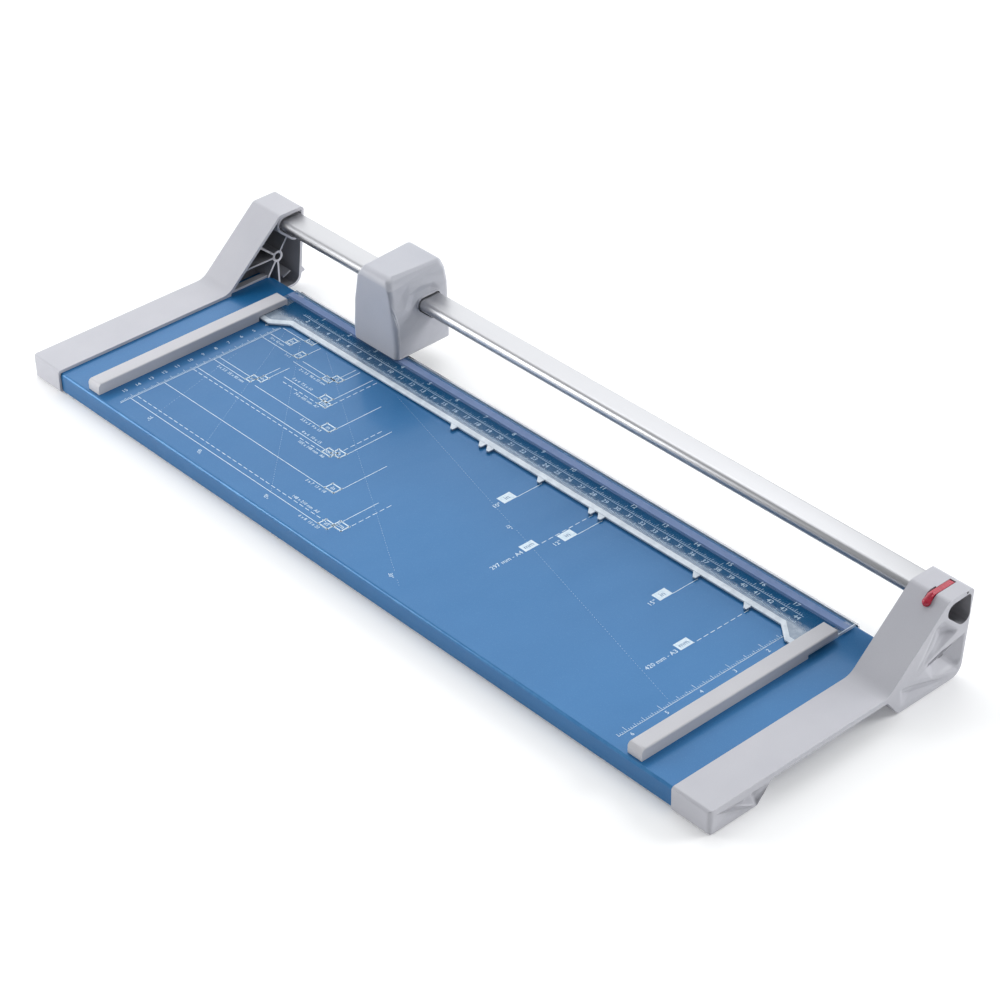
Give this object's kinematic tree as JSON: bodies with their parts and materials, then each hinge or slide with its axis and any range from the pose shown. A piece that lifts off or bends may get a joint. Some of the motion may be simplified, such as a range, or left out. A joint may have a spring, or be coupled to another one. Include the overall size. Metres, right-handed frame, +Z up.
{
  "type": "rolling paper trimmer",
  "caption": "Desktop rolling paper trimmer: a cutting head slides on a rail over a blue table with a clear clamp strip, fences and moulded end caps.",
  "frame": {"origin": "bottom centre of the whole object's box, on the surface that it stands on", "axes": "+X along the guide rail towards the end with the latch, +Y from the user's side to the cutting edge, +Z up"},
  "size_m": [0.5884, 0.2014, 0.0715],
  "materials": {
    "blue_table": "fine satin blue paint on folded steel",
    "cap_grey": "light warm grey moulded plastic, fine grain",
    "head_grey": "light grey moulded plastic, fine grain",
    "fence_grey": "light grey moulded plastic",
    "rail_aluminium": "satin anodised, drawn along its length",
    "blade_steel": "ground steel",
    "screw_steel": "plain steel",
    "spring_steel": "spring steel",
    "carrier_metal": "plain steel",
    "clear_strip": "clear, polished, frosted along its bevel",
    "latch_red": "glossy red",
    "black_plastic": "dark moulded plastic",
    "bush_plastic": "slippery black plastic",
    "skid_grey": "mid grey plastic",
    "foot_rubber": "soft black rubber"
  },
  "bodies": {
    "base": {"base_plate": "blue_table", "left_end_cap": "cap_grey", "right_end_cap": "cap_grey", "guide_rail": "rail_aluminium", "rail_plugs": "black_plastic", "left_fence": "fence_grey", "right_fence": "fence_grey", "fence_screws": "screw_steel", "counter_blade": "blade_steel", "counter_blade_screws": "screw_steel", "cap_screws": "screw_steel", "rubber_feet": "foot_rubber", "strip_guide_pins": "screw_steel", "strip_springs": "spring_steel", "latch_pin": "screw_steel"},
    "clamp": {"clamp_strip": "clear_strip"},
    "latch": {"rail_latch": "latch_red"},
    "head": {"head_cover": "head_grey", "head_chassis": "black_plastic", "slide_bushes": "bush_plastic", "pressing_skid": "skid_grey", "skid_screws": "screw_steel", "head_screws": "screw_steel", "carrier_spring": "spring_steel"},
    "carrier": {"blade_carrier": "carrier_metal", "blade_axle": "screw_steel", "stem_ring": "screw_steel", "axle_screw": "screw_steel"},
    "wheel": {"round_blade": "blade_steel", "blade_hub": "black_plastic"}
  },
  "joints": [
    {"name": "head_slide", "type": "slide", "parent": "base", "child": "head", "axis": [1, 0, 0], "range_m": [-0.094, 0.396]},
    {"name": "clamp_press", "type": "slide", "parent": "base", "child": "clamp", "axis": [0, 0, -1], "range_m": [0, 0.0006], "stiffness_N_per_m": 3000, "springref_m": -0.0003, "deforming": ["strip_springs"]},
    {"name": "latch_lift", "type": "hinge", "parent": "base", "child": "latch", "pos_m": [0.2828, 0.09065, 0.05465], "axis": [-1, 0, 0], "range_deg": [0, 22]},
    {"name": "carrier_float", "type": "slide", "parent": "head", "child": "carrier", "axis": [0, 1, 0], "range_m": [0, 0.0006], "stiffness_N_per_m": 2500, "springref_m": -0.001},
    {"name": "wheel_spin", "type": "hinge", "parent": "carrier", "child": "wheel", "pos_m": [-0.151, 0.0709, 0.0255], "axis": [0, 1, 0], "continuous": true}
  ],
  "couplings": [
    {"joint": "wheel_spin", "follows": "head_slide", "rad_per_m": 71.429}
  ]
}
